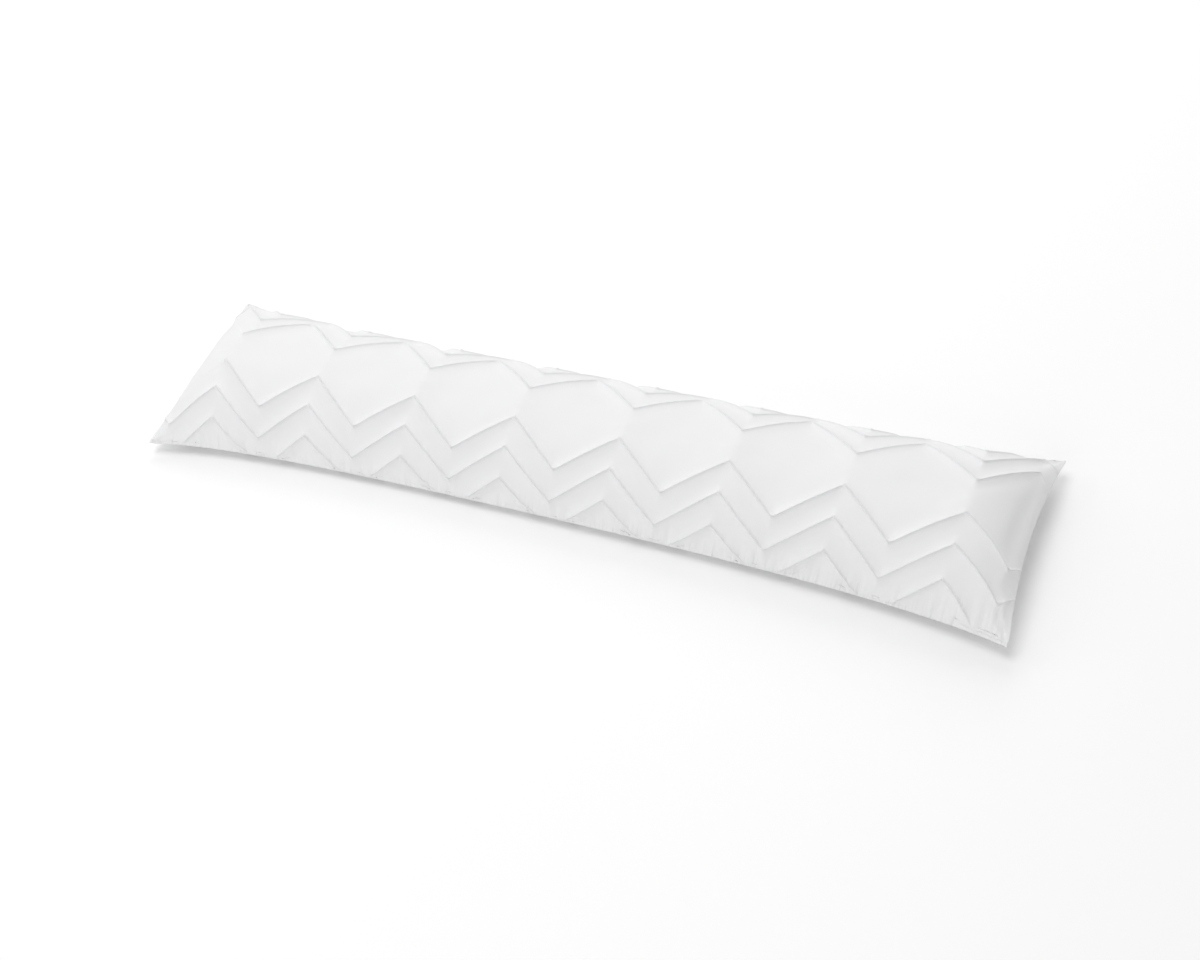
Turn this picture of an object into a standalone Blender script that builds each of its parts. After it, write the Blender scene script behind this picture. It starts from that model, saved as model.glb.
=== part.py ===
"""A body pillow: two quilted panels, sewn together all round and filled, lying on its back.

Metres, with +Z up. X runs along the pillow and Y across it. The origin is on the ground, under the
middle of the pillow. Every point of the cloth is found from its place on the flat panel: how far
along it the point is, and how far across from the panel's middle line.
"""
import math
from collections import namedtuple

import bmesh
import bpy
import numpy as np

# Each panel as it is cut and sewn, seam to seam
PANEL_LENGTH = 1.45
PANEL_WIDTH = 0.35
CORNER_RADIUS = 0.009

# The filling leans the upper panel over by this angle between its crown and the long seams at the
# middle of the pillow, and the lean grows as this power of the way there
SEAM_LEAN = math.radians(70.0)
LEAN_POWER = 1.07

# What is left of the filling's effect at a share of the way from the middle to an end is
# (1 - share ** power) ** rounding: it holds the crown up nearly to the ends, and lets go of the
# drawn-in sides sooner, so that they flare out to the corners
Taper = namedtuple("Taper", "power rounding")
CROWN_TAPER = Taper(power=15.0, rounding=0.90)
SIDE_TAPER = Taper(power=3.2, rounding=0.33)

# The corners lie this far from the middle, the end seams are drawn in between them, and the
# pillow curves a little to one side
SEAM_REACH = 0.722
END_DRAWN_IN = 0.0145
SIDE_BEND = 0.009

# How high the seam lies above the ground, on the near side and on the far one, and how much
# higher the middle of an end seam is than its corners
SeamPoint = namedtuple("SeamPoint", "near far")
SEAM_HEIGHTS = {
    "left end": SeamPoint(near=0.023, far=0.017),
    "middle": SeamPoint(near=0.017, far=0.020),
    "right end": SeamPoint(near=0.043, far=0.031),
}
END_BOW = 0.0115
BOW_POWER = 8.0

# The lower panel lies flat over these shares of its width and length, then rises to the seam
FLAT_ACROSS = 0.44
FLAT_ALONG = 0.80
RISE_POWER = 2.0

# The quilting: three zigzag lines along each long side of a panel, mirrored about its middle. The
# innermost ones begin at their first turn towards the middle
LINES = 3
FIRST_LINE = 0.0626
LINE_GAP = 0.0477
ZIGZAG = 0.0336
PERIOD = 0.1726
PEAK_SHIFT = 0.0039
INNER_LINE_START = PEAK_SHIFT - 3.5 * PERIOD

# A stitched line draws the cloth down into a channel with a shoulder on each side, and the cloth
# between the channels puffs up
CHANNEL_DEPTH = 0.0045
SHOULDER = 0.008
STRIP_PUFF = 0.0015
MIDDLE_PUFF = 0.0035
WAIST_DEPTH = 0.0080
WAIST_SIDE = 0.045
SEAM_FADE = 0.025
END_FADE = 0.05

# Mesh rows and stations
MIDDLE_ROWS = 3
ROW_ROOM = 0.0025
STEPS_PER_SLOPE = 4
END_STATIONS = (0.0015, 0.005, 0.011, 0.020, 0.032)
SECTION_STEPS = 60
CROWN_STEPS = 200

HALF_LENGTH = PANEL_LENGTH / 2
HALF_WIDTH = PANEL_WIDTH / 2

# Cloth colour and finish
CLOTH_COLOUR = (0.92, 0.92, 0.925, 1.0)
CLOTH_ROUGHNESS = 0.85

# One mesh row at one station: its distance from the middle line, how deep the quilting sinks it,
# and how far the filling puffs it up
Row = namedtuple("Row", "distance sink puff")


def left_of(taper, share):
    """What is left of the filling's effect at a share of the way from the middle to an end."""
    return max(1.0 - abs(share) ** taper.power, 0.0) ** taper.rounding


def corner_pull(along, across):
    """How far in towards the middle the turned corner's round pulls a point, each way."""
    end_way = abs(along) - (HALF_LENGTH - CORNER_RADIUS)
    side_way = abs(across) - (HALF_WIDTH - CORNER_RADIUS)
    if min(end_way, side_way) <= 0.0:
        return 0.0, 0.0
    lost = 1.0 - max(end_way, side_way) / math.hypot(end_way, side_way)
    return math.copysign(end_way * lost, along), math.copysign(side_way * lost, across)


def half_section(fullness):
    """How far out and down the upper cloth has gone, at even steps from its crown to the seam."""
    way = np.linspace(0.0, 1.0, SECTION_STEPS + 1)
    lean = fullness * SEAM_LEAN * way ** LEAN_POWER
    step = HALF_WIDTH / SECTION_STEPS
    out, down = (
        np.concatenate(([0.0], np.cumsum((rate[1:] + rate[:-1]) / 2) * step))
        for rate in (np.cos(lean), np.sin(lean))
    )
    return way, out, down


def crown_reach_table():
    """The share of the length that the crown line has reached, against its share of the cloth."""
    reach = np.sqrt(np.linspace(0.0, 1.0, CROWN_STEPS + 1))
    rise = half_section(1.0)[2][-1]
    along = reach * (SEAM_REACH - END_DRAWN_IN)
    height = np.array([left_of(CROWN_TAPER, share) for share in reach]) * rise
    cloth = np.concatenate(([0.0], np.cumsum(np.hypot(np.diff(along), np.diff(height)))))
    return cloth / cloth[-1], reach


def seam_height(share, side):
    """How high the seam's own surface is, from the near side at -1 to the far side at 1."""
    weights = {
        "left end": (share ** 2 - share) / 2,
        "middle": 1.0 - share ** 2,
        "right end": (share ** 2 + share) / 2,
    }
    near = sum(weights[name] * point.near for name, point in SEAM_HEIGHTS.items())
    far = sum(weights[name] * point.far for name, point in SEAM_HEIGHTS.items())
    bow = END_BOW * (1.0 - side ** 2) * abs(share) ** BOW_POWER
    return near * (1.0 - side) / 2 + far * (1.0 + side) / 2 + bow


def upper_point(along, across, crown_table):
    """Where a point of the upper panel lies once the pillow is filled."""
    side = across / HALF_WIDTH
    way = abs(side)
    free = 1.0 - way ** 2
    share = along / HALF_LENGTH
    crown_share = math.copysign(np.interp(abs(share), *crown_table), share)
    share += (crown_share - share) * free
    steps, out, _ = half_section(left_of(SIDE_TAPER, share))
    _, _, down = half_section(left_of(CROWN_TAPER, share))
    x = share * (SEAM_REACH - END_DRAWN_IN * free)
    y = math.copysign(np.interp(way, steps, out), across) - SIDE_BEND * share ** 2
    z = seam_height(share, side) + down[-1] - np.interp(way, steps, down)
    return x, y, z


def risen(way, flat_share):
    """How far the lower panel has risen towards the seam: 0 on the ground and 1 at the seam."""
    return max((way - flat_share) / (1.0 - flat_share), 0.0) ** RISE_POWER


def lower_point(along, across, _):
    """Where a point of the lower panel lies: flat on the ground, then up to meet the seam."""
    side = across / HALF_WIDTH
    way = abs(side)
    share = along / HALF_LENGTH
    seam_out = half_section(left_of(SIDE_TAPER, share))[1][-1]
    x = share * (SEAM_REACH - END_DRAWN_IN * (1.0 - way ** 2))
    y = side * seam_out - SIDE_BEND * share ** 2
    on_ground = (1.0 - risen(way, FLAT_ACROSS)) * (1.0 - risen(abs(share), FLAT_ALONG))
    return x, y, seam_height(share, side) * (1.0 - on_ground)


def zigzag_at(along):
    """The zigzag's swing at a station: 1 where it points to the middle and -1 to the seam."""
    turn = ((along - PEAK_SHIFT) / PERIOD + 0.5) % 1.0
    return 4.0 * abs(turn - 0.5) - 1.0


def half_rows(along):
    """The mesh rows of half a panel at one station, from the middle line to the long seam."""
    swing = zigzag_at(along)
    end_room = HALF_LENGTH - abs(along)
    end_fade = min(end_room / END_FADE, 1.0)
    lines = [FIRST_LINE + LINE_GAP * line - ZIGZAG * swing for line in range(LINES)]
    from_waist = (1.0 - swing) * PERIOD / 4
    band_puff = MIDDLE_PUFF - WAIST_DEPTH * max(1.0 - from_waist / WAIST_SIDE, 0.0) ** 2
    rows = []
    for step in range(MIDDLE_ROWS):
        part = step / MIDDLE_ROWS
        rows.append(Row((lines[0] - SHOULDER) * part, 0.0, band_puff * math.cos(part * math.pi / 2)))
    for number, line in enumerate(lines):
        is_sewn = number > 0 or along > INNER_LINE_START - 0.001
        rows.append(Row(line - SHOULDER, 0.0, 0.0))
        rows.append(Row(line, CHANNEL_DEPTH * is_sewn, 0.0))
        rows.append(Row(line + SHOULDER, 0.0, 0.0))
        rows.append(Row(line + LINE_GAP / 2, 0.0, STRIP_PUFF))
    rows.append(Row(HALF_WIDTH, 0.0, 0.0))
    return [held_from_seam(row, len(rows) - 1 - place, end_fade) for place, row in enumerate(rows)]


def held_from_seam(row, rows_outside, end_fade):
    """Keep a row its own small room inside the seam, and let its relief die out near the edges."""
    distance = min(row.distance, HALF_WIDTH - rows_outside * ROW_ROOM)
    fade = end_fade * min((HALF_WIDTH - distance) / SEAM_FADE, 1.0)
    return Row(distance, row.sink * fade, row.puff * fade)


def stations():
    """Where the mesh is cut across: at each turn of the zigzag, between them, and close to the ends."""
    slope = PERIOD / 2
    step = slope / STEPS_PER_SLOPE
    last_free = HALF_LENGTH - max(END_STATIONS) - step / 2
    first = math.ceil((-last_free - PEAK_SHIFT) / step)
    last = math.floor((last_free - PEAK_SHIFT) / step)
    inner = [PEAK_SHIFT + step * place for place in range(first, last + 1)]
    ends = [HALF_LENGTH - room for room in (0.0,) + END_STATIONS]
    return sorted([-end for end in ends] + inner + ends)


def add_panel(mesh, relief, point_at, has_puffs):
    """Lay one panel as a grid whose rows follow the zigzags, and note each point's relief."""
    cuts = stations()
    columns = len(cuts) - 1
    rows_per_half = len(half_rows(0.0)) - 1
    grid = bmesh.ops.create_grid(mesh, x_segments=columns, y_segments=2 * rows_per_half, size=1.0)
    crown_table = crown_reach_table()
    row_table = [half_rows(along) for along in cuts]
    for vert in grid["verts"]:
        column = round((vert.co.x + 1.0) / 2 * columns)
        row_number = round(vert.co.y * rows_per_half)
        row = row_table[column][abs(row_number)]
        across = math.copysign(row.distance, row_number)
        x, y, z = point_at(cuts[column], across, crown_table)
        pull_x, pull_y = corner_pull(cuts[column], across)
        vert.co = (x - pull_x, y - pull_y, z)
        vert[relief] = row.sink - row.puff * has_puffs


def pillow_mesh():
    """The filled pillow: both panels welded along the seam, then quilted in and out of the surface."""
    mesh = bmesh.new()
    relief = mesh.verts.layers.float.new("relief")
    add_panel(mesh, relief, upper_point, has_puffs=True)
    add_panel(mesh, relief, lower_point, has_puffs=False)
    bmesh.ops.remove_doubles(mesh, verts=mesh.verts, dist=0.00005)
    bmesh.ops.recalc_face_normals(mesh, faces=mesh.faces)
    mesh.normal_update()
    directions = [vert.normal.copy() for vert in mesh.verts]
    for vert, direction in zip(mesh.verts, directions):
        vert.co -= direction * vert[relief]
    mesh.verts.layers.float.remove(relief)
    centre_on_ground(mesh)
    data = bpy.data.meshes.new("pillow")
    mesh.to_mesh(data)
    mesh.free()
    data.shade_smooth()
    return data


def centre_on_ground(mesh):
    """Put the origin under the middle of the pillow's own box, on the ground."""
    xs = [vert.co.x for vert in mesh.verts]
    ys = [vert.co.y for vert in mesh.verts]
    middle_x = (min(xs) + max(xs)) / 2
    middle_y = (min(ys) + max(ys)) / 2
    for vert in mesh.verts:
        vert.co.x -= middle_x
        vert.co.y -= middle_y


def cloth_material():
    """White brushed microfibre."""
    material = bpy.data.materials.new("white microfibre")
    material.use_nodes = True
    shader = material.node_tree.nodes["Principled BSDF"]
    shader.inputs["Base Color"].default_value = CLOTH_COLOUR
    shader.inputs["Roughness"].default_value = CLOTH_ROUGHNESS
    shader.inputs["Metallic"].default_value = 0.0
    return material


def main():
    for leftover in list(bpy.data.objects):
        bpy.data.objects.remove(leftover, do_unlink=True)
    collection = bpy.data.collections.new("body pillow")
    bpy.context.scene.collection.children.link(collection)
    pillow = bpy.data.objects.new("pillow", pillow_mesh())
    pillow.data.materials.append(cloth_material())
    collection.objects.link(pillow)


main()
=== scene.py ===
"""The looks of a quilted body pillow: its puffed cloth, its rows of stitches, a pale floor and soft light.

Metres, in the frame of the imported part: X along the pillow, Y across it, +Z up. Each point of the
cloth is known by its place on the flat panel: how far along it, and how far across from its middle.
"""

import math
from collections import namedtuple

import bmesh
import bpy
import numpy as np
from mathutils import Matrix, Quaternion, Vector


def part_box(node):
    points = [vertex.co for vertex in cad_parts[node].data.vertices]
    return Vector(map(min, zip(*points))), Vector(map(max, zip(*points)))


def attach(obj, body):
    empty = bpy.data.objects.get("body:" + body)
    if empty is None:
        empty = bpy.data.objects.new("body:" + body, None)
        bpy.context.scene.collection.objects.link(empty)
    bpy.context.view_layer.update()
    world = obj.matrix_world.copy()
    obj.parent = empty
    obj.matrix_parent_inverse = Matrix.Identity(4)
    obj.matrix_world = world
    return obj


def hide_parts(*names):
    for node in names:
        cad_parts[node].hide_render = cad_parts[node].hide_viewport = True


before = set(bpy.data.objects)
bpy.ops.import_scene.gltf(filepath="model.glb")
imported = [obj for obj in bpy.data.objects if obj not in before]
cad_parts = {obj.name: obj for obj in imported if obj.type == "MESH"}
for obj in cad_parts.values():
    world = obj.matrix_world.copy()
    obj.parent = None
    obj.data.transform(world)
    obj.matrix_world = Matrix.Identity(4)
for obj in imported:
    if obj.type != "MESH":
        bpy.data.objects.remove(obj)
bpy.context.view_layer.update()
PILLOW_LOW, PILLOW_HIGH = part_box("pillow")

# The flat panels, how far the corners would reach if they were sharp, and their turned round
PANEL_LENGTH = 1.45
PANEL_WIDTH = 0.35
HALF_LENGTH = PANEL_LENGTH / 2
HALF_WIDTH = PANEL_WIDTH / 2
SEAM_REACH = 0.722
CORNER_RADIUS = 0.016

# The filled form, as the part has it: the upper cloth's lean at the seam and how it grows, what is
# left of the filling's effect towards the ends, the drawn-in ends, and the seam's height
SEAM_LEAN = math.radians(70.0)
LEAN_POWER = 1.07
CROWN_TAPER = {"power": 15.0, "rounding": 0.90}
SIDE_TAPER = {"power": 3.2, "rounding": 0.33}
END_DRAWN_IN = 0.0145
SIDE_BEND = 0.009
SEAM_HEIGHTS = {
    "left end": {"near": 0.023, "far": 0.017},
    "middle": {"near": 0.017, "far": 0.020},
    "right end": {"near": 0.043, "far": 0.031},
}
END_BOW = 0.0115
BOW_POWER = 8.0
FLAT_ACROSS = 0.44
FLAT_ALONG = 0.80
RISE_POWER = 2.0

# The quilting: three zigzag lines along each long side of a panel, of which the innermost ones
# begin at their first turn towards the middle
LINES = 3
FIRST_LINE = 0.0626
LINE_GAP = 0.0477
ZIGZAG = 0.0336
PERIOD = 0.1726
PEAK_SHIFT = 0.0039
INNER_LINE_START = PEAK_SHIFT - 3.5 * PERIOD
START_SLACK = 0.001
SLOPE = 4 * ZIGZAG / PERIOD
STROKE_PER_ALONG = math.hypot(1.0, SLOPE)

# The right end's last half period, where the quilting lies further towards the far side, and its
# near seam, which hangs lower than the cloth beside it
LAST_TURN = PEAK_SHIFT + 4 * PERIOD
QUILT_SHIFT = 0.019
SHIFT_POWER = 6.0
SEAM_HANG = 0.018
HANG_POWER = 8.0

# Relief before the cloth is simulated: the channel at a stitched line, and the filling's puffs
CHANNEL_DEPTH = 0.0052
CHANNEL_SIDE = 0.0150
STRIP_PUFF = 0.0006
MIDDLE_PUFF = 0.0030
WAIST_DEPTH = 0.0075
WAIST_SIDE = 0.045
SEAM_FADE = 0.022
END_FADE = 0.045
PUFF_END_FADE = 0.14

# Mesh rows beside each stitched line, in the rest of the panel, and the stations across them
LINE_ROWS = (0.003, 0.008, 0.016)
MIDDLE_ROWS = 5
OUTER_ROWS = 2
SEAM_ROWS = (0.008, 0.003)
LINE_ROOM = 0.0075
STEPS_PER_SLOPE = 11
END_STATIONS = (0.0015, 0.005, 0.011, 0.018)
SECTION_STEPS = 60
CROWN_STEPS = 200
WELD_DISTANCE = 0.00005

# Cloth simulation: the filling's pressure, how far it may move the cloth, and below what height the
# lower panel stays on the ground
PRESSURE = 0.8
LAST_FRAME = 20
FURTHEST_MOVE = 0.005
BLOWN_FADE = 0.020
ON_GROUND = 0.006

# Fine relief on the simulated cloth: the thread's own groove, the short ticks past its turns, the
# gathers along the long seams, the folds at the corners, and slow differences in the filling
GROOVE_DEPTH = 0.0013
GROOVE_SIDE = 0.0030
GROOVE_SEAM_FADE = 0.014
GROOVE_END_FADE = 0.006
ROW_MATCH = 0.01
TICK_DEPTH = 0.0013
TICK_SIDE = 0.0050
TICK_LENGTH = 0.016
GATHER_DEPTH = 0.0016
GATHER_REACH = 0.055
GATHER_START = 0.010
CORNER_FOLD = 0.0014
CORNER_REACH = 0.085
CORNER_FOLDS = 5.0
Wave = namedtuple("Wave", "along across turn height")
FILLING_WAVES = (
    Wave(along=0.31, across=0.90, turn=0.4, height=0.0007),
    Wave(along=0.19, across=-0.40, turn=2.1, height=0.0006),
    Wave(along=0.121, across=0.23, turn=4.4, height=0.0004),
    Wave(along=0.073, across=-0.11, turn=1.3, height=0.00025),
)
GATHER_WAVES = (
    Wave(along=0.0231, across=0.35, turn=0.9, height=0.45),
    Wave(along=0.0307, across=-0.30, turn=3.1, height=0.35),
    Wave(along=0.0171, across=0.50, turn=5.0, height=0.30),
)

# Thread: each stitch and the gap to the next one
STITCH_PITCH = 0.0040
STITCH_LENGTH = 0.0034
THREAD_RADIUS = 0.00032
THREAD_LIFT = 0.00018
STITCH_JITTER = 0.06
STITCH_SEED = 12

# Cloth finish: sizes on the flat panel in metres, and heights of its fine relief
WEAVE_PITCH = 0.0012
WEAVE_HEIGHT = 0.00004
NAP_PER_METRE = 420.0
NAP_HEIGHT = 0.00012
PUCKERS_PER_METRE = 105.0
PUCKER_HEIGHT = 0.0030
PUCKER_REACH = 0.013
PUCKER_SHARE = 0.5
SEAM_PUCKER_REACH = 0.050
SEAM_PUCKER_SHARE = 2.2
CREASE_SIDE = 0.0028
CREASE_HEIGHT = 0.0010
# The cloth's two colours: the darker one is painted shade along the stitched creases, and also the random
# tone of the soft patches and the nap
CLOTH_WHITE = (0.85, 0.85, 0.855, 1.0)
CLOTH_PAINTED_SHADE_AND_TONE = (0.80, 0.80, 0.81, 1.0)
THREAD_WHITE = (0.86, 0.86, 0.865, 1.0)
THREAD_SHADE = (0.76, 0.76, 0.77, 1.0)
FLOOR_WHITE = (0.985, 0.985, 0.985, 1.0)
FLOOR_SHADE = (0.975, 0.975, 0.975, 1.0)
FLOOR_SIZE = 40.0

# Light: the even white surroundings, and large soft squares that face the pillow, in watts
SURROUNDINGS = 0.56
SoftLight = namedtuple("SoftLight", "name place size power")
SOFT_LIGHTS = (
    SoftLight(name="left", place=(-3.6, 0.0, 2.4), size=2.0, power=16.0),
    SoftLight(name="top", place=(-0.6, 0.0, 4.7), size=2.5, power=63.0),
    SoftLight(name="far", place=(-0.9, 3.7, 2.8), size=2.5, power=55.0),
    SoftLight(name="near", place=(-0.4, -4.2, 1.6), size=2.5, power=30.0),
)

# Camera, from the vanishing points of the pillow's long and short sides
CAMERA_PLACE = Vector((0.9944, -1.4638, 2.0652))
CAMERA_AIM = Vector((0.0657, -0.0602, 0.050))
CAMERA_ROLL = math.radians(-14.26)
CAMERA_LENS = 51.53


def left_of(taper, share):
    """What is left of the filling's effect at a share of the way from the middle to an end."""
    return np.maximum(1.0 - np.abs(share) ** taper["power"], 0.0) ** taper["rounding"]


def half_sections(fullness):
    """For each fullness, how far out and down the upper cloth goes between its crown and the seam."""
    way = np.linspace(0.0, 1.0, SECTION_STEPS + 1)
    lean = np.outer(fullness, SEAM_LEAN * way ** LEAN_POWER)
    half_step = HALF_WIDTH / SECTION_STEPS / 2
    tables = []
    for rate in (np.cos(lean), np.sin(lean)):
        table = np.zeros_like(rate)
        table[:, 1:] = np.cumsum(rate[:, 1:] + rate[:, :-1], axis=1) * half_step
        tables.append(table)
    return tables


def look_up(tables, way):
    """Read each row of a table at its own share of the way along it."""
    place = np.clip(way, 0.0, 1.0) * SECTION_STEPS
    below = np.minimum(place.astype(int), SECTION_STEPS - 1)
    part = place - below
    rows = np.arange(len(way))
    return tables[rows, below] * (1.0 - part) + tables[rows, below + 1] * part


def crown_shares(share):
    """Where on the length the crown line has got to, at a share of its own cloth."""
    reach = np.sqrt(np.linspace(0.0, 1.0, CROWN_STEPS + 1))
    rise = half_sections(np.ones(1))[1][0, -1]
    along = reach * (SEAM_REACH - END_DRAWN_IN)
    height = left_of(CROWN_TAPER, reach) * rise
    cloth = np.concatenate(([0.0], np.cumsum(np.hypot(np.diff(along), np.diff(height)))))
    return np.sign(share) * np.interp(np.abs(share), cloth / cloth[-1], reach)


def seam_heights(share, side):
    """How high the seam's own surface is, from the near side at -1 to the far side at 1."""
    weights = {
        "left end": (share ** 2 - share) / 2,
        "middle": 1.0 - share ** 2,
        "right end": (share ** 2 + share) / 2,
    }
    near = sum(weights[name] * point["near"] for name, point in SEAM_HEIGHTS.items())
    far = sum(weights[name] * point["far"] for name, point in SEAM_HEIGHTS.items())
    bow = END_BOW * (1.0 - side ** 2) * np.abs(share) ** BOW_POWER
    return near * (1.0 - side) / 2 + far * (1.0 + side) / 2 + bow


def corner_pulls(along, across):
    """How far in towards the middle the turned corners' round pulls points, each way."""
    end_way = np.abs(along) - (HALF_LENGTH - CORNER_RADIUS)
    side_way = np.abs(across) - (HALF_WIDTH - CORNER_RADIUS)
    in_corner = np.minimum(end_way, side_way) > 0.0
    reach = np.where(in_corner, np.hypot(end_way, side_way), 1.0)
    lost = np.where(in_corner, 1.0 - np.maximum(end_way, side_way) / reach, 0.0)
    pulls = (np.sign(along) * end_way * lost, np.sign(across) * side_way * lost, np.zeros_like(along))
    return np.stack(pulls, axis=1)


def side_of(along, across):
    """How far across the panel a point lies, -1 to 1, with the right end's quilting shifted."""
    side = across / HALF_WIDTH
    shifted = np.clip(1.0 - (LAST_TURN - along) / (PERIOD / 2), 0.0, 1.0)
    return side + QUILT_SHIFT / HALF_WIDTH * shifted * (1.0 - np.abs(side) ** SHIFT_POWER)


def seam_hang(share, side):
    """How far the near seam hangs below the cloth beside it, growing towards the right end."""
    growth = np.maximum(share, 0.0) * (1.0 + share) / 2
    return SEAM_HANG * growth * np.maximum(-side, 0.0) ** HANG_POWER


def upper_points(along, across):
    """Where points of the upper panel lie once the pillow is filled."""
    side = side_of(along, across)
    way = np.abs(side)
    free = 1.0 - way ** 2
    share = along / HALF_LENGTH
    share = share + (crown_shares(share) - share) * free
    out, _ = half_sections(left_of(SIDE_TAPER, share))
    _, down = half_sections(left_of(CROWN_TAPER, share))
    x = share * (SEAM_REACH - END_DRAWN_IN * free)
    y = np.sign(side) * look_up(out, way) - SIDE_BEND * share ** 2
    z = seam_heights(share, side) - seam_hang(share, side) + down[:, -1] - look_up(down, way)
    return np.stack((x, y, z), axis=1)


def risen(way, flat_share):
    """How far the lower panel has risen towards the seam: 0 on the ground and 1 at the seam."""
    return np.maximum((way - flat_share) / (1.0 - flat_share), 0.0) ** RISE_POWER


def lower_points(along, across):
    """Where points of the lower panel lie: flat on the ground, then up to meet the seam."""
    side = side_of(along, across)
    way = np.abs(side)
    share = along / HALF_LENGTH
    seam_out = half_sections(left_of(SIDE_TAPER, share))[0][:, -1]
    x = share * (SEAM_REACH - END_DRAWN_IN * (1.0 - way ** 2))
    y = side * seam_out - SIDE_BEND * share ** 2
    on_ground = (1.0 - risen(way, FLAT_ACROSS)) * (1.0 - risen(np.abs(share), FLAT_ALONG))
    seam = seam_heights(share, side) - seam_hang(share, side)
    return np.stack((x, y, seam * (1.0 - on_ground)), axis=1)


def swing_at(along):
    """The zigzag's swing at a station: 1 where it points to the middle and -1 to the seam."""
    turn = ((along - PEAK_SHIFT) / PERIOD + 0.5) % 1.0
    return 4.0 * np.abs(turn - 0.5) - 1.0


def line_centres(along, line):
    """How far from the middle of the panel a stitched line is, at each station."""
    return FIRST_LINE + LINE_GAP * line - ZIGZAG * swing_at(along)


def is_sewn(along, line):
    """Whether a line is stitched at each station, or is past its start or too close to the seam."""
    clear = line_centres(along, line) < HALF_WIDTH - LINE_ROOM
    return clear & ((line > 0) | (along > INNER_LINE_START - START_SLACK))


def half_rows(along):
    """Distances of the mesh rows from the middle line at one station, and which are stitched."""
    rows = []
    stitched = []
    first_inside = line_centres(along, 0) - LINE_ROWS[-1]
    rows += [first_inside * step / MIDDLE_ROWS for step in range(MIDDLE_ROWS)]
    for line in range(LINES):
        centre = line_centres(along, line)
        rows += [centre - beside for beside in reversed(LINE_ROWS)]
        stitched.append(len(rows))
        rows.append(centre)
        rows += [centre + beside for beside in LINE_ROWS]
        if line < LINES - 1:
            rows.append(centre + LINE_GAP / 2)
    outside = HALF_WIDTH - SEAM_ROWS[0] - rows[-1]
    rows += [rows[-1] + outside * step / (OUTER_ROWS + 1) for step in range(1, OUTER_ROWS + 1)]
    rows += [HALF_WIDTH - room for room in SEAM_ROWS]
    rows.append(HALF_WIDTH)
    room_per_row = LINE_ROOM / (len(rows) - 1 - stitched[-1])
    rows = [min(row, HALF_WIDTH - (len(rows) - 1 - place) * room_per_row) for place, row in enumerate(rows)]
    return rows, stitched


def stations():
    """Where the mesh is cut across: at each turn of the zigzag, between them, and close to the ends."""
    step = PERIOD / 2 / STEPS_PER_SLOPE
    last_free = HALF_LENGTH - max(END_STATIONS) - step / 2
    first = math.ceil((-last_free - PEAK_SHIFT) / step)
    last = math.floor((last_free - PEAK_SHIFT) / step)
    inner = [PEAK_SHIFT + step * place for place in range(first, last + 1)]
    ends = [HALF_LENGTH - room for room in (0.0,) + END_STATIONS]
    return sorted([-end for end in ends] + inner + ends)


def add_panel(mesh, layers, is_upper):
    """Lay one panel as a flat grid whose rows follow the zigzags, and note each point's place on it."""
    cuts = stations()
    columns = len(cuts) - 1
    row_table = [half_rows(along)[0] for along in cuts]
    rows_per_half = len(row_table[0]) - 1
    grid = bmesh.ops.create_grid(mesh, x_segments=columns, y_segments=2 * rows_per_half, size=1.0)
    for vert in grid["verts"]:
        column = round((vert.co.x + 1.0) / 2 * columns)
        row = round(vert.co.y * rows_per_half)
        vert[layers["along"]] = cuts[column]
        vert[layers["across"]] = math.copysign(row_table[column][abs(row)], row)
        vert[layers["row"]] = row
        on_seam = abs(row) == rows_per_half or column in (0, columns)
        vert[layers["upper"]] = 0.5 if on_seam else float(is_upper)
    return grid["verts"]


def cloth_mesh():
    """Both panels in their filled form, welded along the seam, with each point's place kept with it."""
    mesh = bmesh.new()
    layers = {name: mesh.verts.layers.float.new(name) for name in ("along", "across", "row", "upper")}
    for is_upper, points_at in ((True, upper_points), (False, lower_points)):
        verts = add_panel(mesh, layers, is_upper)
        along = np.array([vert[layers["along"]] for vert in verts])
        across = np.array([vert[layers["across"]] for vert in verts])
        for vert, point in zip(verts, points_at(along, across) - corner_pulls(along, across)):
            vert.co = point
    bmesh.ops.remove_doubles(mesh, verts=mesh.verts, dist=WELD_DISTANCE)
    bmesh.ops.recalc_face_normals(mesh, faces=mesh.faces)
    middle_y = (min(v.co.y for v in mesh.verts) + max(v.co.y for v in mesh.verts)) / 2
    middle_of_part = (PILLOW_LOW + PILLOW_HIGH) / 2
    bmesh.ops.translate(mesh, verts=mesh.verts, vec=(middle_of_part.x, middle_of_part.y - middle_y, 0.0))
    flat = mesh.loops.layers.uv.new("flat panel")
    for face in mesh.faces:
        for loop in face.loops:
            loop[flat].uv = (loop.vert[layers["along"]], loop.vert[layers["across"]])
    data = bpy.data.meshes.new("pillow_cloth")
    mesh.to_mesh(data)
    mesh.free()
    return data


def places_of(data):
    """The points of a mesh as arrays: where they are, their normals, and their places on the cloth."""
    count = len(data.vertices)
    found = {name: np.empty(count, np.float32) for name in ("along", "across", "row", "upper")}
    for name, values in found.items():
        data.attributes[name].data.foreach_get("value", values)
    found["point"] = np.empty((count, 3), np.float32)
    data.vertices.foreach_get("co", found["point"].ravel())
    found["normal"] = np.empty((count, 3), np.float32)
    data.vertex_normals.foreach_get("vector", found["normal"].ravel())
    return {name: values.astype(float) for name, values in found.items()}


def move_along_normals(data, found, offset):
    """Move each point of a mesh outwards by its own offset, but never into the ground."""
    moved = found["point"] + found["normal"] * offset[:, None]
    moved[:, 2] = np.maximum(moved[:, 2], 0.0)
    data.vertices.foreach_set("co", moved.astype(np.float32).ravel())
    data.update()


def line_distances(found):
    """How far each point is, square to the stitching, from each stitched line of its own half."""
    inside = np.abs(found["across"])
    gaps = []
    for line in range(LINES):
        gaps.append((inside - line_centres(found["along"], line)) / STROKE_PER_ALONG)
    return np.array(gaps)


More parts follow.
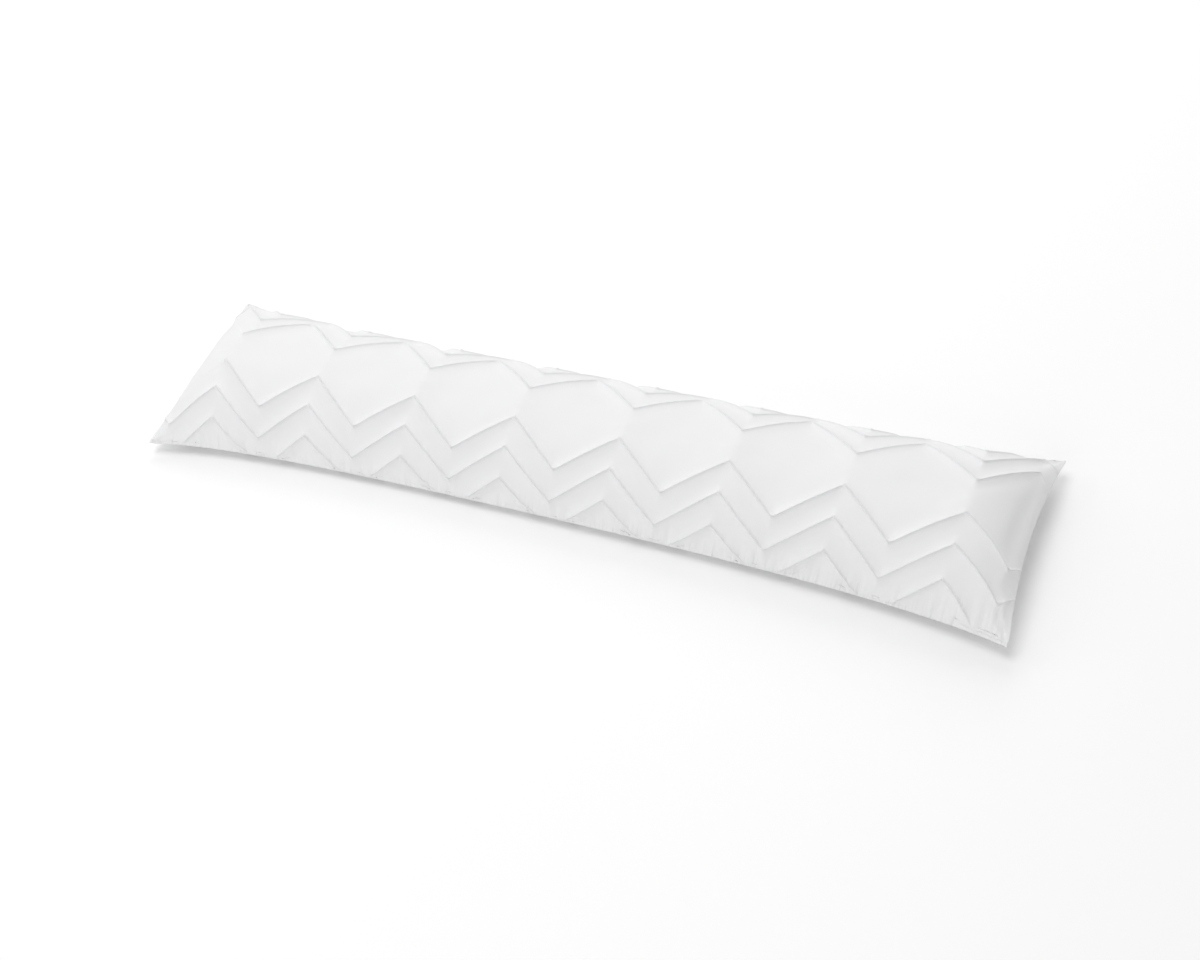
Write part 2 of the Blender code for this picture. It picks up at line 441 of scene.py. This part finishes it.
def from_stitching(found):
    """How far each point is from the nearest stitched line, which the inner lines' start cuts short."""
    gaps = np.abs(line_distances(found))
    before = INNER_LINE_START - found["along"]
    beside = np.abs(found["across"]) - (FIRST_LINE - ZIGZAG)
    gaps[0] = np.where(before > 0.0, np.hypot(before, beside), gaps[0])
    return gaps.min(axis=0)


def edge_fades(found, side_fade, end_fade):
    """1 well inside a panel, and 0 at its seams."""
    to_side = np.clip((HALF_WIDTH - np.abs(found["across"])) / side_fade, 0.0, 1.0)
    to_end = np.clip((HALF_LENGTH - np.abs(found["along"])) / end_fade, 0.0, 1.0)
    return to_side * to_end


def near_share(distance, reach):
    """1 at no distance, falling in a soft curve to 0 at the reach."""
    return np.clip(1.0 - distance / reach, 0.0, 1.0) ** 2


def quilt(data):
    """Sink the stitched channels into the filled form, and puff the bands between them."""
    found = places_of(data)
    gaps = line_distances(found)
    nearest = from_stitching(found)
    channel = CHANNEL_DEPTH * near_share(nearest, CHANNEL_SIDE)
    from_waist = (1.0 - swing_at(found["along"])) * PERIOD / 4
    in_middle = np.clip(-gaps[0] / FIRST_LINE, 0.0, 1.0)
    waist = WAIST_DEPTH * near_share(from_waist, WAIST_SIDE)
    puff = (MIDDLE_PUFF - waist) * np.sin(in_middle * math.pi / 2)
    puff += STRIP_PUFF * (gaps[0] > 0.0) * np.minimum(nearest / CHANNEL_SIDE, 1.0)
    on_top = found["upper"] > 0.5
    channel *= edge_fades(found, SEAM_FADE, END_FADE)
    puff *= edge_fades(found, SEAM_FADE, PUFF_END_FADE)
    move_along_normals(data, found, puff * on_top - channel)


def simulate(pillow):
    """Let the filling blow the cloth out between its stitches, no further than the cap."""
    data = pillow.data
    found = places_of(data)
    start = found["point"].copy()
    rows = np.abs(np.round(found["row"])).astype(int)
    on_ground = (found["upper"] < 0.5) & (start[:, 2] < ON_GROUND)
    held = (found["upper"] == 0.5) | on_ground
    for line, row in enumerate(half_rows(0.0)[1]):
        held |= (rows == row) & is_sewn(found["along"], line)
    group = pillow.vertex_groups.new(name="stitched")
    group.add([int(place) for place in np.flatnonzero(held)], 1.0, "REPLACE")
    cloth = pillow.modifiers.new("filling", "CLOTH")
    settings = cloth.settings
    settings.quality = 4
    settings.mass = 0.2
    settings.tension_stiffness = 20.0
    settings.compression_stiffness = 20.0
    settings.shear_stiffness = 8.0
    settings.bending_stiffness = 0.4
    settings.vertex_group_mass = group.name
    settings.use_pressure = True
    settings.uniform_pressure_force = PRESSURE
    settings.effector_weights.gravity = 0.0
    cloth.collision_settings.use_collision = False
    scene = bpy.context.scene
    for step in range(1, LAST_FRAME + 1):
        scene.frame_set(step)
    graph = bpy.context.evaluated_depsgraph_get()
    shaped = bpy.data.meshes.new_from_object(pillow.evaluated_get(graph))
    blown = np.empty((len(shaped.vertices), 3), np.float32)
    shaped.vertices.foreach_get("co", blown.ravel())
    pillow.modifiers.remove(cloth)
    pillow.vertex_groups.remove(group)
    scene.frame_set(1)
    bpy.data.meshes.remove(shaped)
    move = blown - start
    length = np.linalg.norm(move, axis=1)
    move *= (FURTHEST_MOVE / np.maximum(length, FURTHEST_MOVE))[:, None]
    settled = start + move * edge_fades(found, BLOWN_FADE, BLOWN_FADE)[:, None] ** 2
    settled[:, 2] = np.maximum(settled[:, 2], 0.0)
    data.vertices.foreach_set("co", settled.astype(np.float32).ravel())
    data.update()


def subdivide_once(pillow):
    """Smooth the cloth with one subdivision, and keep the result as the piece's own mesh."""
    finer = pillow.modifiers.new("finer", "SUBSURF")
    finer.levels = 1
    finer.render_levels = 1
    graph = bpy.context.evaluated_depsgraph_get()
    data = bpy.data.meshes.new_from_object(pillow.evaluated_get(graph))
    pillow.modifiers.remove(finer)
    coarse = pillow.data
    pillow.data = data
    bpy.data.meshes.remove(coarse)
    data.name = "pillow_cloth"


def waves_at(waves, along, across):
    """The sum of a few slanting waves, at places on the flat panel."""
    total = np.zeros_like(along)
    for wave in waves:
        total += wave.height * np.sin(2 * math.pi * (along / wave.along + across / wave.across) + wave.turn)
    return total


def ticks(found):
    """The short creases that run on past each turn of the stitching: 1 at the turn, 0 away from it."""
    half_period = PERIOD / 2
    number = np.round((found["along"] - PEAK_SHIFT) / half_period)
    from_turn = np.abs(found["along"] - PEAK_SHIFT - number * half_period)
    pointing = np.where(number % 2 == 1, 1.0, -1.0)
    inside = np.abs(found["across"])
    strength = np.zeros_like(inside)
    for line in range(LINES):
        past = pointing * (FIRST_LINE + LINE_GAP * line - ZIGZAG * pointing - inside)
        along_tick = np.clip(1.0 - past / TICK_LENGTH, 0.0, 1.0) * (past > -GROOVE_SIDE)
        strength = np.maximum(strength, along_tick * near_share(from_turn, TICK_SIDE))
    return strength


def corner_folds(found):
    """Soft folds that fan out from each corner of a panel into the cloth."""
    to_end = HALF_LENGTH - np.abs(found["along"])
    to_side = HALF_WIDTH - np.abs(found["across"])
    distance = np.hypot(to_end, to_side)
    angle = np.arctan2(to_side, to_end)
    which = np.sign(found["along"]) + 2.0 * np.sign(found["across"])
    fan = np.cos(angle * 2 * CORNER_FOLDS + which)
    edge = np.sin(2.0 * angle)
    share = distance / CORNER_REACH
    return fan * edge * np.clip(share, 0.0, 1.0) * np.clip(1.0 - share, 0.0, 1.0) * 4.0


def sew_in(data):
    """Press the thread's groove, ticks, gathers and folds into the finished cloth."""
    found = places_of(data)
    nearest = from_stitching(found)
    inner = edge_fades(found, GROOVE_SEAM_FADE, GROOVE_END_FADE)
    sunk = GROOVE_DEPTH * near_share(nearest, GROOVE_SIDE) * inner
    sunk += TICK_DEPTH * ticks(found) * inner
    from_seam = HALF_WIDTH - np.abs(found["across"])
    gathers = GATHER_DEPTH * waves_at(GATHER_WAVES, found["along"], found["across"])
    gathers *= near_share(from_seam, GATHER_REACH) * np.clip(from_seam / GATHER_START, 0.0, 1.0)
    filling = waves_at(FILLING_WAVES, found["along"], found["across"])
    filling *= edge_fades(found, SEAM_FADE, END_FADE) * np.minimum(nearest / CHANNEL_SIDE, 1.0)
    folds = CORNER_FOLD * corner_folds(found)
    move_along_normals(data, found, gathers + filling + folds - sunk)


def pillow_piece():
    """The filled, quilted cloth of the pillow as one closed piece."""
    pillow = bpy.data.objects.new("pillow_cloth", cloth_mesh())
    bpy.context.scene.collection.objects.link(pillow)
    quilt(pillow.data)
    simulate(pillow)
    subdivide_once(pillow)
    sew_in(pillow.data)
    pillow.data.shade_smooth()
    return pillow


def stitch_template():
    """One stitch of thread along +Z, with a middle of the thread's thickness and drawn-in ends."""
    mesh = bmesh.new()
    bmesh.ops.create_uvsphere(mesh, u_segments=6, v_segments=4, radius=1.0)
    bmesh.ops.scale(mesh, vec=(THREAD_RADIUS, THREAD_RADIUS, STITCH_LENGTH / 2), verts=mesh.verts)
    mesh.verts.index_update()
    corners = np.array([vert.co for vert in mesh.verts])
    faces = [[vert.index for vert in face.verts] for face in mesh.faces]
    mesh.free()
    return corners, faces


def stitch_frames(found, run, line, dice):
    """Where each stitch of one line lies, and its three axes: out of the cloth, beside it and along it."""
    points = found["point"][run]
    lengths = np.concatenate(([0.0], np.cumsum(np.linalg.norm(np.diff(points, axis=0), axis=1))))
    count = int(lengths[-1] / STITCH_PITCH)
    middles = (np.arange(count) + 0.5) * lengths[-1] / count

    def read(values, at):
        return np.stack([np.interp(at, lengths, values[:, axis]) for axis in range(3)], axis=1)

    along = np.interp(middles, lengths, found["along"][run])
    shown = is_sewn(along, line) & (np.abs(along) < HALF_LENGTH - GROOVE_END_FADE)
    middles = middles[shown]
    ahead = read(points, middles + STITCH_LENGTH / 2) - read(points, middles - STITCH_LENGTH / 2)
    out = read(found["normal"][run], middles)
    ahead /= np.linalg.norm(ahead, axis=1)[:, None]
    out -= ahead * (out * ahead).sum(axis=1)[:, None]
    out /= np.linalg.norm(out, axis=1)[:, None]
    beside = np.cross(ahead, out)
    ahead += beside * dice.normal(0.0, STITCH_JITTER, len(middles))[:, None]
    centres = read(points, middles) + out * THREAD_LIFT
    return centres, np.stack((out, beside, ahead), axis=1)


def stitching_piece(name, pillow, is_upper):
    """Every stitch on one panel, as one mesh of joined copies."""
    found = places_of(pillow.data)
    on_panel = found["upper"] > 0.5 if is_upper else found["upper"] < 0.5
    dice = np.random.default_rng(STITCH_SEED + is_upper)
    corners, faces = stitch_template()
    _, stitched = half_rows(0.0)
    placed = []
    for line, row in enumerate(stitched):
        for side in (-1, 1):
            run = np.flatnonzero(on_panel & (np.abs(found["row"] - side * row) < ROW_MATCH))
            run = run[np.argsort(found["along"][run])]
            centres, axes = stitch_frames(found, run, line, dice)
            placed.append(centres[:, None, :] + np.einsum("ck,nkj->ncj", corners, axes))
    points = np.concatenate(placed)
    points[:, :, 2] = np.maximum(points[:, :, 2], 0.0)
    copies = [
        [corner + len(corners) * copy for corner in face] for copy in range(len(points)) for face in faces
    ]
    data = bpy.data.meshes.new(name)
    data.from_pydata(points.reshape(-1, 3).tolist(), [], copies)
    data.shade_smooth()
    stitching = bpy.data.objects.new(name, data)
    bpy.context.scene.collection.objects.link(stitching)
    return stitching


class Wire:
    """One output of a material's nodes. Python's operators on it add Math nodes."""

    def __init__(self, tree, socket=None):
        self.tree = tree
        self.socket = socket

    def node(self, kind, settings, inputs, output=0):
        """Add a node: its settings first, then the values or the links of its sockets."""
        node = self.tree.nodes.new(kind)
        for name, value in settings.items():
            setattr(node, name, value)
        for key, value in inputs.items():
            if isinstance(value, Wire):
                self.tree.links.new(value.socket, node.inputs[key])
            else:
                node.inputs[key].default_value = value
        return Wire(self.tree, node.outputs[output])

    def sibling(self, name):
        """Another output of the same node."""
        return Wire(self.tree, self.socket.node.outputs[name])

    def math(self, operation, *values):
        """A Math node of this operation, on these values in turn."""
        return self.node("ShaderNodeMath", {"operation": operation}, dict(enumerate(values)))

    def __add__(self, other):
        return self.math("ADD", self, other)

    def __radd__(self, other):
        return self.math("ADD", other, self)

    def __sub__(self, other):
        return self.math("SUBTRACT", self, other)

    def __rsub__(self, other):
        return self.math("SUBTRACT", other, self)

    def __mul__(self, other):
        return self.math("MULTIPLY", self, other)

    def __rmul__(self, other):
        return self.math("MULTIPLY", other, self)

    def __truediv__(self, other):
        return self.math("DIVIDE", self, other)

    def __pow__(self, power):
        return self.math("POWER", self, power)

    def __abs__(self):
        return self.math("ABSOLUTE", self)

    def near(self, reach):
        """1 where this distance is 0, falling in a soft curve to 0 at the reach."""
        return self.math("MAXIMUM", 1.0 - self / reach, 0.0) ** 2.0


def place_at(along, across, lift):
    """A place made of three values, for a texture to read."""
    return along.node("ShaderNodeCombineXYZ", {}, {"X": along, "Y": across, "Z": lift})


def noise_at(place, scale, detail):
    """Smooth noise from 0 to 1 at a place."""
    return place.node("ShaderNodeTexNoise", {}, {"Vector": place, "Scale": scale, "Detail": detail}, "Fac")


def mix_colours(share, first, second):
    """A colour between two, by a share from 0 to 1."""
    return share.node("ShaderNodeMix", {"data_type": "RGBA"}, {0: share, 6: first, 7: second}, 2)


def new_material(name, constants):
    """A Principled material. What is the same all over it is set on the shader's own sockets."""
    material = bpy.data.materials.new(name)
    material.use_nodes = True
    shader = material.node_tree.nodes["Principled BSDF"]
    for socket, value in constants.items():
        shader.inputs[socket].default_value = value
    return material, shader, Wire(material.node_tree)


def finish_material(shader, wires, height):
    """Link what varies to the shader, with the fine relief, in metres, as its bump."""
    for socket, wire in wires.items():
        wire.tree.links.new(wire.socket, shader.inputs[socket])
    bump = height.node("ShaderNodeBump", {}, {"Height": height, "Strength": 1.0, "Distance": 1.0})
    bump.tree.links.new(bump.socket, shader.inputs["Normal"])


def microfibre():
    """White brushed microfibre: a fine weave under a soft nap, gathered a little beside the thread, with
    shade painted into its colour along the stitched creases.
    """
    constants = {"Sheen Weight": 0.15, "Sheen Roughness": 0.5, "Specular IOR Level": 0.3}
    material, shader, cloth = new_material("white microfibre", constants)
    flat = cloth.node("ShaderNodeUVMap", {"uv_map": "flat panel"}, {})
    along = cloth.node("ShaderNodeSeparateXYZ", {}, {0: flat}, "X")
    across = along.sibling("Y")
    inside = abs(across)
    swing_way = cloth.math("PINGPONG", along - PEAK_SHIFT, PERIOD / 2)
    past_first = inside - (FIRST_LINE + ZIGZAG) + swing_way * SLOPE
    number = cloth.math("ROUND", past_first / LINE_GAP)
    line = cloth.math("MINIMUM", cloth.math("MAXIMUM", number, 0.0), LINES - 1.0)
    unsewn = cloth.math("LESS_THAN", along, INNER_LINE_START) * cloth.math("LESS_THAN", line, 0.5)
    from_line = abs(past_first - line * LINE_GAP) / STROKE_PER_ALONG + unsewn
    from_seam = HALF_WIDTH - inside
    to_end = HALF_LENGTH - abs(along)
    open_cloth = 1.0 - cloth.math("MINIMUM", from_seam, to_end).near(GROOVE_SEAM_FADE)
    crease = from_line.near(CREASE_SIDE) * open_cloth
    gathered = noise_at(place_at(along * PUCKERS_PER_METRE, inside * 14.0, across * 3.0), 1.0, 2.0)
    beside_thread = from_line.near(PUCKER_REACH) * (1.0 - crease)
    beside_seam = from_seam.near(SEAM_PUCKER_REACH)
    puckers = (gathered - 0.5) * (beside_thread * PUCKER_SHARE + beside_seam * SEAM_PUCKER_SHARE)
    nap = noise_at(place_at(along, across, from_seam), NAP_PER_METRE, 3.0)
    turns = 2 * math.pi / WEAVE_PITCH
    weave = cloth.math("SINE", along * turns) * cloth.math("SINE", across * turns)
    soft_patches = noise_at(place_at(along, across, across), 16.0, 3.0)
    height = puckers * PUCKER_HEIGHT + nap * NAP_HEIGHT + weave * WEAVE_HEIGHT - crease * CREASE_HEIGHT
    # Painted shade: the colour darkens along each stitched crease, where shade falls, on top of the random
    # tone of the soft patches and the nap
    crease_shade_and_tone = cloth.math("MINIMUM", crease * 0.6 + soft_patches * 0.3 + nap * 0.15, 1.0)
    colour = mix_colours(crease_shade_and_tone, CLOTH_WHITE, CLOTH_PAINTED_SHADE_AND_TONE)
    finish_material(shader, {"Base Color": colour, "Roughness": 0.72 + nap * 0.2}, height)
    return material


def thread():
    """White sewing thread, twisted finely along its length."""
    material, shader, plain = new_material("white thread", {"Specular IOR Level": 0.4})
    place = plain.node("ShaderNodeTexCoord", {}, {}, "Object")
    twist = noise_at(place, 1800.0, 2.0)
    colour = mix_colours(twist, THREAD_WHITE, THREAD_SHADE)
    finish_material(shader, {"Base Color": colour, "Roughness": 0.5 + twist * 0.2}, twist * NAP_HEIGHT)
    return material


def smooth_floor():
    """A matt white floor with hardly any unevenness."""
    material, shader, plain = new_material("pale floor", {"Specular IOR Level": 0.2})
    place = plain.node("ShaderNodeTexCoord", {}, {}, "Object")
    patches = noise_at(place, 1.5, 2.0)
    colour = mix_colours(patches, FLOOR_WHITE, FLOOR_SHADE)
    finish_material(shader, {"Base Color": colour, "Roughness": 0.85 + patches * 0.1}, patches * NAP_HEIGHT)
    return material


def add_floor():
    """The pale floor under the pillow."""
    bpy.ops.mesh.primitive_plane_add(size=FLOOR_SIZE, location=(0.0, 0.0, 0.0))
    floor = bpy.context.object
    floor.name = "floor"
    floor.data.materials.append(smooth_floor())


def add_soft_light(soft_light):
    """One square area light, turned to face the middle of the pillow."""
    light = bpy.data.lights.new(soft_light.name, "AREA")
    light.shape = "SQUARE"
    light.size = soft_light.size
    light.energy = soft_light.power
    holder = bpy.data.objects.new(soft_light.name, light)
    holder.location = soft_light.place
    holder.rotation_euler = (-Vector(soft_light.place)).to_track_quat("-Z", "Y").to_euler()
    bpy.context.scene.collection.objects.link(holder)


def add_light():
    """Even white surroundings, and soft lights that are strongest from above and from the far side."""
    world = bpy.data.worlds.new("studio")
    world.use_nodes = True
    background = world.node_tree.nodes["Background"]
    background.inputs["Color"].default_value = (1.0, 1.0, 1.0, 1.0)
    background.inputs["Strength"].default_value = SURROUNDINGS
    scene = bpy.context.scene
    scene.world = world
    scene.view_settings.view_transform = "Standard"
    for soft_light in SOFT_LIGHTS:
        add_soft_light(soft_light)


def add_camera():
    """The photograph's camera, rolled about its line of sight."""
    camera = bpy.data.cameras.new("camera")
    camera.lens = CAMERA_LENS
    camera.sensor_fit = "HORIZONTAL"
    camera.clip_end = 100.0
    holder = bpy.data.objects.new("camera", camera)
    holder.rotation_mode = "QUATERNION"
    holder.location = CAMERA_PLACE
    level = (CAMERA_AIM - CAMERA_PLACE).to_track_quat("-Z", "Y")
    holder.rotation_quaternion = level @ Quaternion((0.0, 0.0, 1.0), CAMERA_ROLL)
    bpy.context.scene.collection.objects.link(holder)
    bpy.context.scene.camera = holder


add_camera()
add_light()
add_floor()

pillow = pillow_piece()
pillow.data.materials.clear()
pillow.data.materials.append(microfibre())
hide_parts("pillow")
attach(pillow, "root")

white_thread = thread()
for name, is_upper in (("stitching_upper", True), ("stitching_lower", False)):
    stitching = stitching_piece(name, pillow, is_upper)
    stitching.data.materials.append(white_thread)
    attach(stitching, "root")
